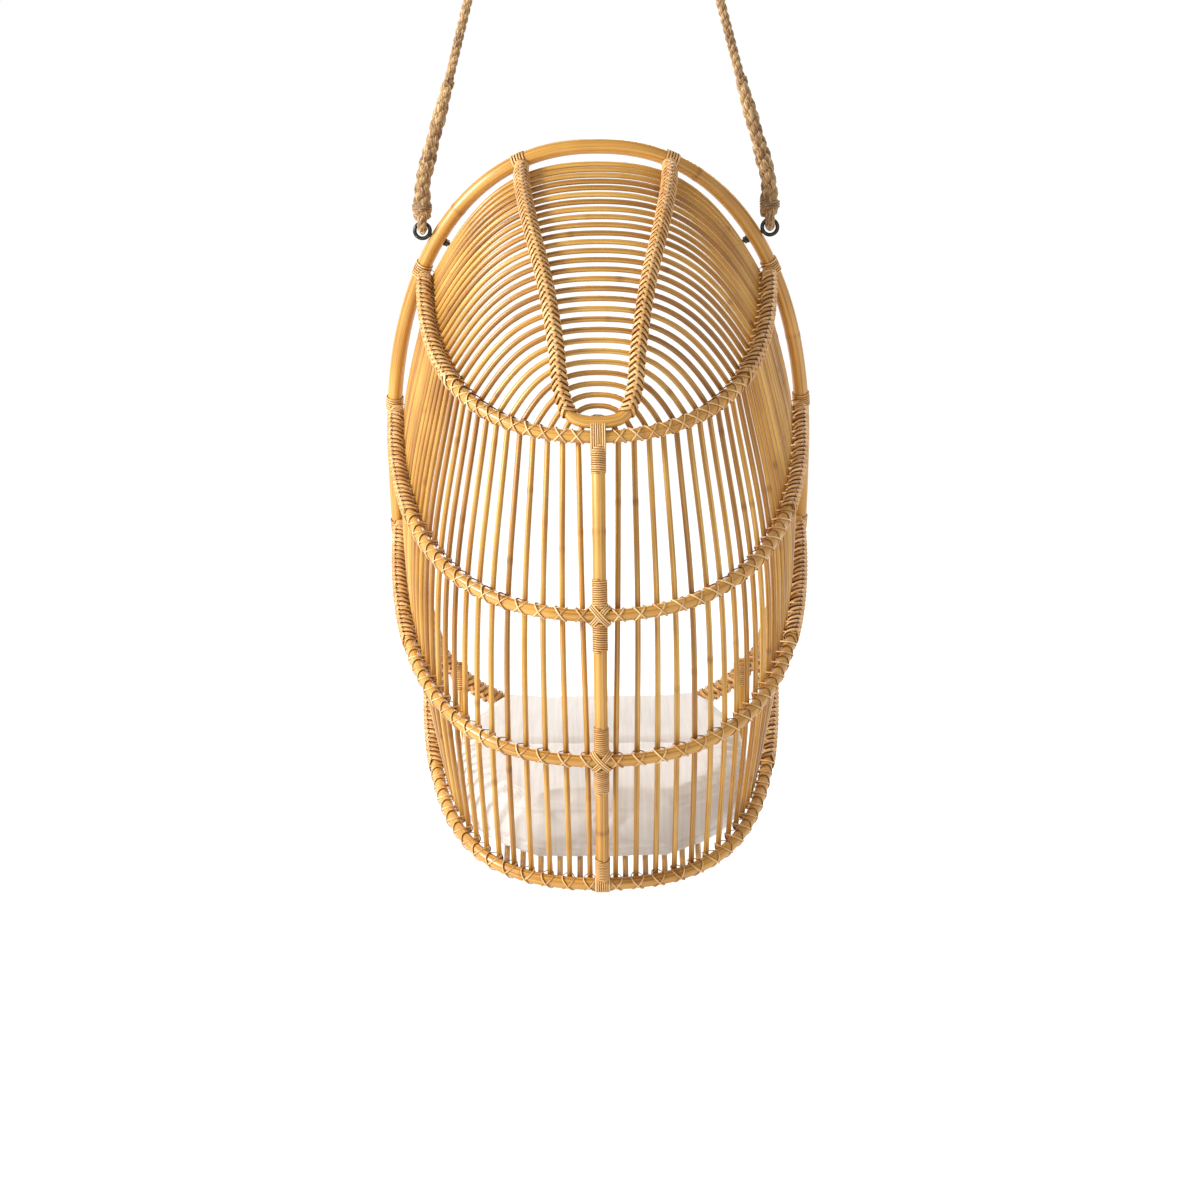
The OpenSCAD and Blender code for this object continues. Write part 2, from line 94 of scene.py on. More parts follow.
SPLICE_LAST, ROUTE_STEPS = 4, 3
CROWN_POINTS = [
    (29, 0.64), (26.6, 0.64), (20.5, 0.675), (13.2, 0.722), (7.7, 0.69), (3.7, 0.49), (1.9, 0.33),
]
SEAT_HOOP_LEVEL, SEAT_HOOP_POWER = -425, 5
SEAT_HOOP_BOTTOM, SEAT_HOOP_BEHIND = (-190, 62), 14
DECK_FAN, DECK_DROP, DECK_OVERHANG = 1.05, 8, 14
HOOP_LIFT = RIB_R + SPOKE_R + 4 * GAP
HOOP_NAMES = ["base_hoop", "rib_3", "rib_2", "rib_1"]

# ---- curves


def signed_pow(value, power):
    return math.copysign(abs(value) ** power, value)


def place(p):
    """A chair point in millimetres as a point of the row frame in metres."""
    return Vector((p[0], p[1], p[2] - HANG_DROP)) * MM


def flip_x(p):
    return Vector((-p[0], p[1], p[2]))


class Cubic:
    """A cubic through four handles, read by its share of the length."""

    STEPS = 16

    def __init__(self, handles):
        self.handles = [Vector(h) for h in handles]
        self.sums = [0.0]
        for i in range(1, self.STEPS + 1):
            step = self.at(i / self.STEPS) - self.at((i - 1) / self.STEPS)
            self.sums.append(self.sums[-1] + step.length)
        self.length = self.sums[-1]

    def at(self, t):
        a, b, c, d = self.handles
        s = 1 - t
        return s**3 * a + 3 * s * s * t * b + 3 * s * t * t * c + t**3 * d

    def point(self, share):
        goal = min(1, max(0, share)) * self.length
        for i in range(self.STEPS):
            if goal <= self.sums[i + 1] or i == self.STEPS - 1:
                part = (goal - self.sums[i]) / (self.sums[i + 1] - self.sums[i])
                return self.at((i + part) / self.STEPS)


def knot_gap(a, b):
    return math.sqrt((b - a).length)


def curve_piece(pts, i, t):
    """Centripetal spline between points i and i + 1."""
    p1, p2 = pts[i], pts[i + 1]
    m1 = m2 = p2 - p1
    b = knot_gap(p1, p2)
    if i > 0:
        a = knot_gap(pts[i - 1], p1)
        m1 = b * ((p1 - pts[i - 1]) / a - (p2 - pts[i - 1]) / (a + b) + (p2 - p1) / b)
    if i < len(pts) - 2:
        c = knot_gap(p2, pts[i + 2])
        m2 = b * ((p2 - p1) / b - (pts[i + 2] - p1) / (b + c) + (pts[i + 2] - p2) / c)
    return (
        (2 * t**3 - 3 * t * t + 1) * p1
        + (t**3 - 2 * t * t + t) * m1
        + (3 * t * t - 2 * t**3) * p2
        + (t**3 - t * t) * m2
    )


def smooth_path(pts, steps):
    inner = [curve_piece(pts, i, k / steps) for i in range(len(pts) - 1) for k in range(steps)]
    return inner + [pts[-1]]


def run_lengths(path, start=0.0):
    """The length along a path at each of its points."""
    sums = [start]
    for a, b in zip(path, path[1:]):
        sums.append(sums[-1] + (b - a).length)
    return sums


def resample(path, step, closed=False):
    """The same line with even steps close to the given one."""
    pts = path + [path[0]] if closed else path
    sums = run_lengths(pts)
    count = max(2, round(sums[-1] / step))
    out, i = [], 0
    for k in range(count if closed else count + 1):
        goal = sums[-1] * k / count
        while i < len(pts) - 2 and sums[i + 1] < goal:
            i += 1
        part = (goal - sums[i]) / max(1e-12, sums[i + 1] - sums[i])
        out.append(pts[i].lerp(pts[i + 1], part))
    return out


def path_length(path, closed=False):
    pts = path + [path[0]] if closed else path
    return sum((b - a).length for a, b in zip(pts, pts[1:]))


def directions(path, closed=False):
    n = len(path)
    if closed:
        return [(path[(i + 1) % n] - path[i - 1]).normalized() for i in range(n)]
    return [(path[min(i + 1, n - 1)] - path[max(i - 1, 0)]).normalized() for i in range(n)]


# ---- the chair's own lines, as in the CAD

RIM_UP_DIR = Vector((0, math.sin(RIM_LEAN), math.cos(RIM_LEAN)))
RIM_FRONT_DIR = Vector((0, -math.cos(RIM_LEAN), math.sin(RIM_LEAN)))


def rim_half(upper):
    """The power and the reach of the rim's upper or lower half."""
    return (RIM_POWER_UP, RIM_UP) if upper else (RIM_POWER_DOWN, RIM_DOWN)


def rim_flat(angle):
    power, reach = rim_half(math.sin(angle) >= 0)
    p = 2 / power
    return (
        RIM_HALF_WIDTH * signed_pow(math.cos(angle), p),
        reach * signed_pow(math.sin(angle), p),
    )


def rim_normal(angle):
    power, reach = rim_half(math.sin(angle) >= 0)
    p = 2 - 2 / power
    x = signed_pow(math.cos(angle), p) / RIM_HALF_WIDTH
    y = signed_pow(math.sin(angle), p) / reach
    size = math.hypot(x, y)
    return Vector((x / size, 0, 0)) + y / size * RIM_UP_DIR


def rim_angle(level):
    power, reach = rim_half(level >= 0)
    return math.asin(signed_pow(level / reach, power / 2))


BOLT_ANGLE = rim_angle(EYE_LEVEL)
EYE_REACH = RIM_R + GAP + EYE_RING_R + EYE_WIRE_R
RIM_MIDDLE = Vector(
    (0, -EYE_LEVEL * math.sin(RIM_LEAN) - EYE_REACH * rim_normal(BOLT_ANGLE).y, RIM_HEIGHT)
)


def rim_point(angle):
    x, level = rim_flat(angle)
    return RIM_MIDDLE + Vector((x, 0, 0)) + level * RIM_UP_DIR


def surface_edge(angle):
    return rim_point(angle) - SURFACE_INSET * rim_normal(angle)


def hoop_curve(k):
    middle = Vector((0, BACK_POINTS[k][0], BACK_POINTS[k][1]))
    end = surface_edge(rim_angle(END_LEVELS[k]))
    depth = Vector((0, middle.y - end.y, middle.z - end.z))
    side = Vector((SQUARENESS[k] * end.x, 0, 0))
    return Cubic([middle, middle + side, end + SQUARENESS[k] * depth, end])


RIB_1 = hoop_curve(3)


def hood_middle():
    h = RIB_1.handles
    end = surface_edge(math.pi / 2)
    slope = Vector((0, math.cos(HOOD_SLOPE), -math.sin(HOOD_SLOPE)))
    return Cubic([h[0], h[0] + HOOD_LOW * CROWN_UP, end + HOOD_HIGH * slope, end])


STATIONS = [hoop_curve(k) for k in range(4)] + [hood_middle()]


def spoke_share(k, i):
    u = (i - 1) / (SPOKES - 1)
    if k < 4:
        u += LEG_SPREADS[k] * u * (1 - u)
    first = FIRST_GAPS[min(k, 3)]
    last = LAST_GAPS[0 if k < 4 else 1]
    length = STATIONS[k].length
    return (first + (length - first - last) * u) / length


def outward(k, share):
    along = STATIONS[k].point(share + 0.02) - STATIONS[k].point(share - 0.02)
    low = STATIONS[max(0, k - 1)].point(share)
    high = STATIONS[min(3, k + 1)].point(share)
    return (high - low).cross(along).normalized()


def hood_point(i, share):
    """Half a cane's arch over the hood: share 0 on rib 1 and share 1 on the hood's middle."""
    a = STATIONS[3].point(spoke_share(3, i))
    b = STATIONS[4].point(spoke_share(4, i))
    corner = Vector((0, a.y, a.z))
    out, up = a - corner, b - corner
    p, q, r = HOOD_ROUND
    t = 1 - share
    return (
        t**3 * a
        + 3 * t * t * share * (corner + p * out + q * up)
        + 3 * t * share * share * (corner + r * out + up)
        + share**3 * b
    )


def spoke_path(i):
    knots = [STATIONS[k].point(spoke_share(k, i)) for k in range(4)]
    leg = [knots[0] + 8 * (knots[0] - knots[1]).normalized()] + knots
    half = smooth_path(leg, 9)[:-1] + [hood_point(i, k / 24) for k in range(24)]
    return half + [hood_point(i, 1)] + [flip_x(p) for p in reversed(half)]


def behind_rim(p):
    return -(p - RIM_MIDDLE).dot(RIM_FRONT_DIR)


def end_at_rim(last, beyond):
    direction = (beyond - last).normalized()
    travel = (behind_rim(last) - RIM_R - 2 * GAP) / direction.dot(RIM_FRONT_DIR)
    return last + travel * direction


def hoop_half(k):
    """Half a hoop, from the middle of the back to the back of the rim."""
    steps = 14
    shares = [i / steps for i in range(steps + 1)]
    full = [STATIONS[k].point(s) + HOOP_LIFT * outward(k, s) for s in shares]
    kept = [p for p in full if behind_rim(p) > RIM_R + 8]
    return kept + [end_at_rim(kept[-1], full[-1])]


def hoop_path(k):
    half = hoop_half(k)
    return [flip_x(p) for p in reversed(half[1:])] + half


def crown_place(i, share):
    a = hood_point(i, share + 0.02) - hood_point(i, share - 0.02)
    b = hood_point(i + 0.2, share) - hood_point(i - 0.2, share)
    return hood_point(i, share) + HOOP_LIFT * a.cross(b).normalized()


def crown_path():
    placed = [crown_place(*c) for c in CROWN_POINTS]
    right = [end_at_rim(placed[1], placed[0])] + placed[1:]
    bottom_share = (2 * RIB_R + 1.5) / STATIONS[4].length
    bottom = STATIONS[4].point(bottom_share) + HOOP_LIFT * Vector((0, 0.985, 0.17))
    return smooth_path(right + [bottom] + [flip_x(p) for p in reversed(right)], 6)


SEAT_HOOP_END = surface_edge(rim_angle(SEAT_HOOP_LEVEL))


def seat_hoop_point(angle):
    p = 2 / SEAT_HOOP_POWER
    drop = max(0, math.cos(angle)) ** p
    front = SEAT_HOOP_END.y + SEAT_HOOP_BEHIND
    return Vector(
        (
            SEAT_HOOP_END.x * signed_pow(math.sin(angle), p),
            front + (SEAT_HOOP_BOTTOM[0] - front) * drop,
            SEAT_HOOP_END.z + (SEAT_HOOP_BOTTOM[1] - SEAT_HOOP_END.z) * drop,
        )
    )


SEAT_PATH = [seat_hoop_point(math.radians(90 * i / 15)) for i in range(-15, 16)]


def seat_at(x):
    for a, b in zip(SEAT_PATH, SEAT_PATH[1:]):
        if a.x <= x <= b.x:
            return a.lerp(b, (x - a.x) / (b.x - a.x))


def deck_path(i):
    side = -1 if i < 0 else 1
    j = abs(i)
    share = 0 if j == 0 else (spoke_share(0, j) + spoke_share(0, j + 1)) / 2
    start = STATIONS[0].point(share)
    start = Vector((side * start.x, start.y, start.z - DECK_DROP * j / (DECK_CANES // 2)))
    x = DECK_FAN * start.x
    slope = seat_at(x + 4) - seat_at(x - 4)
    over = seat_at(x) + (RIB_R + DECK_R + GAP) * Vector((-slope.z, 0, slope.x)).normalized()
    return [start, (start + over) / 2, over + DECK_OVERHANG * (over - start).normalized()]


def hoop_middle(k):
    return STATIONS[k].point(0) + HOOP_LIFT * outward(k, 0.001)


def strut_path(k):
    low, high = hoop_middle(k), hoop_middle(k + 1)
    direction = (high - low).normalized()
    reach = RIB_R + GAP
    out = Vector((0, direction.z, -direction.y))
    span = (high - low).length - 2 * reach
    return [
        low + (reach + span * t) * direction + 32 * t * (1 - t) * out
        for t in [i / 6 for i in range(7)]
    ]


# ---- mesh building


def full_turn(count):
    """Angles at even steps round a circle."""
    return [2 * math.pi * k / count for k in range(count)]


def circle(centre, r, side, other, count):
    return [centre + r * (math.cos(a) * side + math.sin(a) * other) for a in full_turn(count)]


class Build:
    """Gathers round bars and flat strips into one mesh, with a tone for each point."""

    STRIP = [(-0.5, 0.1), (-0.32, 0.8), (0, 1), (0.32, 0.8), (0.5, 0.1), (0, -0.25)]

    def __init__(self):
        self.points, self.faces, self.uvs, self.tones = [], [], [], []

    def rings(self, rings, lengths, tones, closed=False):
        sides = len(rings[0])
        base = len(self.points)
        for ring, tone in zip(rings, tones):
            self.points.extend(ring)
            self.tones.extend([tone] * sides)
        spans = len(rings) if closed else len(rings) - 1
        lengths = lengths + [2 * lengths[-1] - lengths[-2]] if closed else lengths
        for i in range(spans):
            a, d = base + i * sides, base + (i + 1) % len(rings) * sides
            for j in range(sides):
                k = (j + 1) % sides
                self.faces.append((a + j, a + k, d + k, d + j))
                u0, u1 = lengths[i], lengths[i + 1]
                v0, v1 = j / sides, (j + 1) / sides
                self.uvs.extend([(u0, v0), (u0, v1), (u1, v1), (u1, v0)])
        if not closed:
            last = base + (len(rings) - 1) * sides
            self.faces.append(tuple(base + j for j in reversed(range(sides))))
            self.faces.append(tuple(last + j for j in range(sides)))
            self.uvs.extend([(lengths[0], 0.5)] * sides + [(lengths[-1], 0.5)] * sides)

    def bar(self, path, radius, sides=12, ref=(0, 0.31, 0.95), closed=False, tone=0.5,
            step=8 * MM, joints=(), swell=0.05):
        """A cane along a path; joints are the lengths where it has its growth rings."""
        path = resample(path, step, closed)
        dirs = directions(path, closed)
        lengths = run_lengths(path)
        rings, tones = [], []
        side = None
        for p, d, at in zip(path, dirs, lengths):
            side = Vector(ref) if side is None else side
            side = (side - side.dot(d) * d).normalized()
            other = d.cross(side)
            near = min([abs(at - j) for j in joints], default=1)
            r = radius * (1 + swell * math.exp(-((near / (5 * MM)) ** 2)))
            r *= 1 + 0.012 * math.sin(at * 31 + tone * 40)
            rings.append(circle(p, r, side, other, sides))
            tones.append(tone - 0.16 * math.exp(-((near / (2.4 * MM)) ** 2)))
        if closed:
            self.rings(rings, lengths, tones, closed=True)
            return
        # rounded ends
        for end, at in ((0, 0), (len(rings) - 1, -1)):
            centre, way = path[at], dirs[at] * (1 if at else -1)
            tip = [centre + 0.7 * (q - centre) + 0.4 * radius * way for q in rings[end]]
            rings = rings + [tip] if at else [tip] + rings
            tones = tones + [tones[-1]] if at else [tones[0]] + tones
            lengths = lengths + [lengths[-1]] if at else [lengths[0]] + lengths
        self.rings(rings, lengths, tones)

    def strip(self, points, normals, width, thick, tone, closed=False):
        """A flat strip of split cane whose upper side faces along the normals."""
        dirs = directions(points, closed)
        lengths = run_lengths(points, random.random())
        rings = []
        for p, n, d in zip(points, normals, dirs):
            n = (n - n.dot(d) * d).normalized()
            across = d.cross(n)
            rings.append([p + x * width * across + y * thick * n for x, y in self.STRIP])
        self.rings(rings, lengths, [tone] * len(rings), closed)

    def make(self, name, material, body, replaces=()):
        mesh = bpy.data.meshes.new(name)
        mesh.from_pydata([tuple(p) for p in self.points], [], self.faces)
        layer = mesh.uv_layers.new(name="along")
        layer.data.foreach_set("uv", [c for uv in self.uvs for c in uv])
        tone = mesh.attributes.new("tone", "FLOAT", "POINT")
        tone.data.foreach_set("value", self.tones)
        mesh.materials.append(material)
        mesh.polygons.foreach_set("use_smooth", [True] * len(mesh.polygons))
        piece = bpy.data.objects.new(name, mesh)
        bpy.context.scene.collection.objects.link(piece)
        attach(piece, body)
        if replaces:
            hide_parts(*replaces)
        return piece


def placed(path):
    return [place(p) for p in path]


def tone_near(middle, spread=0.14):
    return middle + random.uniform(-spread, spread)


# ---- materials


def shader(name, roughness, **sockets):
    material = bpy.data.materials.new(name)
    material.use_nodes = True
    tree = material.node_tree
    surface = tree.nodes["Principled BSDF"]
    surface.inputs["Roughness"].default_value = roughness
    for socket, value in sockets.items():
        surface.inputs[socket.replace("_", " ").title()].default_value = value
    return material, tree, surface


def node(tree, kind, inputs=None, **settings):
    made = tree.nodes.new(kind)
    for key, value in settings.items():
        setattr(made, key, value)
    for key, value in (inputs or {}).items():
        if isinstance(value, bpy.types.NodeSocket):
            tree.links.new(value, made.inputs[key])
        else:
            made.inputs[key].default_value = value
    return made


def math_node(tree, operation, a, b=0.5):
    return node(tree, "ShaderNodeMath", {0: a, 1: b}, operation=operation).outputs[0]


def ramp(tree, factor, stops):
    made = node(tree, "ShaderNodeValToRGB", {"Fac": factor})
    elements = made.color_ramp.elements
    while len(elements) < len(stops):
        elements.new(0.5)
    for element, (at, colour) in zip(elements, stops):
        element.position = at
        element.color = (*colour, 1)
    return made.outputs["Color"]


def srgb(code):
    values = [int(code[i : i + 2], 16) / 255 for i in (0, 2, 4)]
    return tuple(v / 12.92 if v <= 0.04045 else ((v + 0.055) / 1.055) ** 2.4 for v in values)


def noise(tree, where, scale, detail):
    inputs = {"Vector": where, "Scale": scale, "Detail": detail}
    return node(tree, "ShaderNodeTexNoise", inputs).outputs["Fac"]


def remap(tree, value, low, high, new_low, new_high):
    inputs = {"Value": value, "From Min": low, "From Max": high,
              "To Min": new_low, "To Max": new_high}
    return node(tree, "ShaderNodeMapRange", inputs).outputs[0]


def spread(tree, value, gain):
    """A noise's distance from its middle value, made stronger or weaker."""
    return math_node(tree, "MULTIPLY", math_node(tree, "SUBTRACT", value, 0.5), gain)


def along_and_tone(tree):
    """The length along a piece, the share of the way round it, and its tone."""
    uv = node(tree, "ShaderNodeUVMap", uv_map="along").outputs["UV"]
    parts = node(tree, "ShaderNodeSeparateXYZ", {"Vector": uv}).outputs
    tone = node(tree, "ShaderNodeAttribute", attribute_name="tone").outputs["Fac"]
    return parts["X"], parts["Y"], tone


def object_space(tree):
    return node(tree, "ShaderNodeTexCoord").outputs["Object"]


def paint(tree, surface, value, colours):
    stops = [(at, srgb(code)) for at, code in colours]
    tree.links.new(ramp(tree, value, stops), surface.inputs["Base Color"])


def emboss(tree, surface, height, strength, distance):
    inputs = {"Height": height, "Strength": strength, "Distance": distance}
    relief = node(tree, "ShaderNodeBump", inputs)
    tree.links.new(relief.outputs[0], surface.inputs["Normal"])


def cane(name, colours, roughness, coat, streaks, bump=0.25, painted_edge_shade=0.0):
    """Rattan: streaks along the fibre, soft blotches, darker growth rings from the tone, and for
    strips painted shade on the edges.
    """
    material, tree, surface = shader(name, roughness, coat_weight=coat, coat_roughness=0.22)
    run, round_share, tone = along_and_tone(tree)
    along = math_node(tree, "MULTIPLY", run, streaks[1])
    across = math_node(tree, "MULTIPLY", round_share, streaks[0])
    spot = node(tree, "ShaderNodeCombineXYZ", {"X": along, "Y": across, "Z": tone}).outputs[0]
    fibres = noise(tree, spot, 1.0, 4.0)
    blotch = noise(tree, object_space(tree), 9.0, 3.0)
    mixed = math_node(tree, "ADD", spread(tree, fibres, 0.9), spread(tree, blotch, 0.35))
    total = math_node(tree, "ADD", mixed, tone)
    if painted_edge_shade:
        # a strip's upper face is the first two thirds of the way round; its edges and underside
        # get painted shade, dark outlines where the plaited strands meet
        middle = math_node(tree, "SUBTRACT", round_share, 1 / 3)
        off = math_node(tree, "ABSOLUTE", middle)
        total = math_node(tree, "SUBTRACT", total, remap(tree, off, 0.15, 0.33, 0.0, painted_edge_shade))
    paint(tree, surface, total, colours)
    rough = remap(tree, fibres, 0.0, 1.0, roughness - 0.08, roughness + 0.1)
    tree.links.new(rough, surface.inputs["Roughness"])
    emboss(tree, surface, fibres, bump, 0.0006)
    return material


POLE = cane(
    "honey_pole", [(0.05, "4a2b0d"), (0.32, "a16a26"), (0.5, "cb943e"), (0.8, "e6b86a")],
    0.36, 0.25, streaks=(26, 3),
)
SPOKE = cane(
    "spoke_cane", [(0.05, "5a3813"), (0.35, "a5702a"), (0.55, "cf9c42"), (0.85, "f0cd80")],
    0.36, 0.2, streaks=(16, 4),
)
# split cane, with painted shade on each strip's edges and underside
STRIP = cane(
    "split_cane", [(0.05, "7a4718"), (0.35, "bd8645"), (0.55, "dca966"), (0.85, "f1d19c")],
    0.45, 0.1, streaks=(7, 9), bump=0.35, painted_edge_shade=0.6,
)


def steel():
    """Dark coated steel, slightly mottled and worn to a brighter grey."""
    material, tree, surface = shader("dark_steel", 0.38, metallic=0.85)
    grime = noise(tree, object_space(tree), 260.0, 5.0)
    paint(tree, surface, grime, [(0.3, "2b2a28"), (0.6, "4b4a47"), (0.75, "7c7a75")])
    emboss(tree, surface, grime, 0.2, 0.0003)
    return material


def rope_fibre():
    """Twisted natural fibre: fine yarn lines along each strand, dry and matt."""
    material, tree, surface = shader("rope_fibre", 0.85, sheen_weight=0.25, sheen_roughness=0.6)
    run, round_share, tone = along_and_tone(tree)
    along = math_node(tree, "MULTIPLY", run, 60)
    twist = math_node(tree, "MULTIPLY", round_share, 14)
    slant = math_node(tree, "ADD", twist, math_node(tree, "MULTIPLY", run, 420))
    spot = node(tree, "ShaderNodeCombineXYZ", {"X": along, "Y": slant, "Z": tone}).outputs[0]
    yarn = noise(tree, spot, 1.2, 4.0)
    total = math_node(tree, "ADD", spread(tree, yarn, 2.2), tone)
    colours = [(0.1, "4f3318"), (0.4, "8c6438"), (0.6, "b08a55"), (0.85, "d8bb8a")]
    paint(tree, surface, total, colours)
    emboss(tree, surface, yarn, 0.7, 0.001)
    return material


STEEL = steel()
ROPE = rope_fibre()

# ---- ropes


def helix(path, pitch, phase, radius_at):
    """A line that winds round a path at the radius given for each share of the length."""
    line = resample(path, 2 * MM)
    ref = Vector((0, 1, 0))
    out = []
    for i, (p, d, at) in enumerate(zip(line, directions(line), run_lengths(line))):
        side = (ref - ref.dot(d) * d).normalized()
        other = d.cross(side)
        r = radius_at(i / (len(line) - 1))
        angle = phase + 2 * math.pi * at / pitch
        out.append(p + r * (math.cos(angle) * side + math.sin(angle) * other))
    return out


def strands(build, path, pitch, ring_at, thick_at):
    """Twisted strands; two functions give the ring's and a strand's radius at each share."""
    for s in range(STRANDS):
        line = helix(path, pitch, 2 * math.pi * s / STRANDS, ring_at)
        lengths = run_lengths(line)
        rings, tones = [], []
        for i, (p, d, at) in enumerate(zip(line, directions(line), lengths)):
            side = Vector((0.3, 1, 0.1))
            side = (side - side.dot(d) * d).normalized()
            other = d.cross(side)
            r = thick_at(i / (len(line) - 1))
            r *= 1 + 0.05 * math.sin(at * 900 + s)
            rings.append(circle(p, r, side, other, 8))
            tones.append(0.5 + 0.06 * math.sin(at * 70 + 2 * s))
        build.rings(rings, lengths, tones)


def on_side(side, p):
    return Vector((side * p[0], 0, p[1]))


def rope_line(side):
    return smooth_path([on_side(side, p) for p in ROPE_ROUTE], ROUTE_STEPS)


def beyond_route(side, run):
    line = rope_line(side)
    return line[-1] + run * (line[-1] - line[-2]).normalized()


def loop_line(bearing, along, bend_r, leg):
    """A loop of rope round a wire at bearing, whose legs run along a direction."""
    throat = LOOP_ROPE_R + 0.3
    inside = leg + 5
    y = Vector((0, 1, 0))
    bend = [bearing + bend_r * (math.cos(a) * y - math.sin(a) * along)
            for a in [math.radians(20 * k) for k in range(10)]]
    ends = [bearing + inside * along, bearing + leg * along]
    right = [e + throat * y for e in ends]
    left = [e - throat * y for e in reversed(ends)]
    return right + bend + left


def steady(value):
    return lambda share: value


def twisted_loop(build, bearing, along, bend_r, leg, cord_r, strand_r):
    """A loop of twisted cord round a wire."""
    loop = smooth_path(placed(loop_line(bearing, along, bend_r, leg)), 3)
    strands(build, loop, LOOP_PITCH, steady(cord_r - strand_r), steady(strand_r))


def lower_splice(side, name, line):
    """The thick splice over the eye, its whipping, and its loop through the eye."""
    build = Build()
    spliced = [line[0] - Vector((0, 0, 9 * MM))] + line
    top, low = SPLICE_TOP_R * MM, SPLICE_R * MM

    def girth(share):
        lump = 1 + 0.07 * math.sin(share * 19)
        return (low + (top - low) * share) * lump

    strands(build, spliced, 62 * MM, lambda s: girth(s) * 0.5, lambda s: girth(s) * 0.56)
    bearing = eye_bearing(side)
    up = Vector((0, 0, 1))
    bend_r = EYE_WIRE_R + EYE_CLEAR + LOW_LOOP_R
    twisted_loop(build, bearing, up, bend_r, LOW_LOOP_LEG, LOW_LOOP_R * MM, LOW_LOOP_R * MM * 0.52)
    for k in range(3):
        centre = place(bearing) + Vector((0, 0, (LOW_LOOP_LEG + 3 + 4 * k) * MM))
        seize(build, centre, up, low + 0.8 * MM)
    return build.make(f"{name}_splice_strands", ROPE, f"{name}_rope",
                      [f"rope_splice_{name}"])


def upper_splice(side, name):
    """The splice at the ceiling ring, with its loop."""
    build = Build()
    run = [place(beyond_route(side, TOP_SPLICE_LEN * k / 6)) for k in range(7)]

    def girth(share):
        return (SPLICE_TOP_R + 2 * share) * MM

    strands(build, run, 40 * MM, lambda s: girth(s) * 0.5, lambda s: girth(s) * 0.56)
    along = (beyond_route(side, 1) - beyond_route(side, 0)).normalized()
    bearing = beyond_route(side, TOP_SPLICE_LEN + LOOP_LEG)
    bend_r = HOOK_WIRE_R + LOOP_CLEAR + LOOP_ROPE_R
    small = LOOP_ROPE_R * MM * 0.52
    twisted_loop(build, bearing, -along, bend_r, LOOP_LEG, LOOP_ROPE_R * MM, small)
    return build.make(f"{name}_top_splice_strands", ROPE, f"{name}_rope",
                      [f"top_splice_{name}"])


def rope(side, name):
    line = placed(rope_line(side))
    build = Build()
    strand_r = ROPE_R * MM * 0.5
    strands(build, line, 42 * MM, steady(ROPE_R * MM - strand_r), steady(strand_r))
    piece = build.make(f"{name}_rope_strands", ROPE, f"{name}_rope", [f"rope_{name}"])
    splices = [
        lower_splice(side, name, line[: SPLICE_LAST * ROUTE_STEPS + 1]),
        upper_splice(side, name),
    ]


def seize(build, centre, along, radius):
    """One turn of thin whipping round the rope."""
    side = Vector((0, 1, 0))
    other = along.cross(side).normalized()
    normals = circle(Vector(), 1, side, other, 20)
    line = [centre + radius * n for n in normals]
    build.strip(line, normals, 3.4 * MM, 1.6 * MM, 0.4, closed=True)


def eye_bearing(side):
    normal = rim_normal(BOLT_ANGLE)
    p = rim_point(BOLT_ANGLE) + EYE_REACH * normal
    return Vector((side * p.x, p.y, p.z + EYE_RING_R))


for side, name in ((1, "left"), (-1, "right")):
    rope(side, name)

# ---- poles and canes


def growth_rings(length, first, spacing):
    out, at = [], first
    while at < length - 0.03:
        out.append(at)
        at += spacing * random.uniform(0.8, 1.2)
    return out


def length_to_angle(path, angle_share):
    return path_length(path[: int(len(path) * angle_share) + 1])


def rim_piece():
    path = placed([rim_point(a) for a in full_turn(240)])
    joints = [length_to_angle(path, a / 360) for a in (4, 53, 116, 160, 203, 320)]
    build = Build()
    build.bar(path, RIM_R * MM, sides=20, ref=RIM_FRONT_DIR, closed=True, tone=0.5, step=6 * MM,
              joints=joints, swell=0.045)
    build.make("rim_pole", POLE, "chair", ["rim"])


def hoop_pieces():
    for k, name in enumerate(HOOP_NAMES):
        path = placed(smooth_path(hoop_path(k), 4))
        length = path_length(path)
        build = Build()
        build.bar(path, RIB_R * MM, sides=16, tone=0.5, step=6 * MM,
                  joints=growth_rings(length, 0.12 + 0.05 * k, 0.31), swell=0.05)
        build.make(f"{name}_pole", POLE, "chair", [name])
    for name, path in (("crown_loop", crown_path()), ("seat_hoop", SEAT_PATH)):
        build = Build()
        path = placed(path)
        build.bar(path, RIB_R * MM, sides=16, ref=(0, 1, 0.2), tone=0.5, step=6 * MM,
                  joints=growth_rings(path_length(path), 0.2, 0.33))
        build.make(f"{name}_pole", POLE, "chair", [name])


def strut_pieces():
    for k, name in ((0, "lower"), (1, "middle"), (2, "upper")):
        path = placed(smooth_path(strut_path(k), 4))
        build = Build()
        build.bar(path, STRUT_R * MM, sides=16, ref=(0, 1, 0), tone=0.52 - 0.08 * (k == 0),
                  joints=[path_length(path) * 0.46], swell=0.07)
        name = f"back_strut_{name}"
        build.make(f"{name}_pole", POLE, "chair", [name])


def spoke_pieces():
    for i in range(1, SPOKES + 1):
        path = placed(spoke_path(i))
        build = Build()
        tone = tone_near(0.44, 0.1)
        joints = growth_rings(path_length(path), random.uniform(0.1, 0.3), 0.42)
        build.bar(path, SPOKE_R * MM, sides=10, tone=tone, step=9 * MM, joints=joints, swell=0.08)
        name = f"spoke_{i:02d}"
        build.make(f"{name}_cane", SPOKE, "chair", [name])


def deck_piece():
    build = Build()
    half = (DECK_CANES - 1) // 2
    for i in range(-half, half + 1):
        path = placed(deck_path(i))
        tone = tone_near(0.45, 0.1)
        joints = growth_rings(path_length(path), 0.1, 0.25)
        build.bar(path, DECK_R * MM, sides=10, ref=(0, 0, 1), tone=tone, step=12 * MM,
                  joints=joints, swell=0.08)
    build.make("deck_cane_row", SPOKE, "chair", ["deck_canes"])


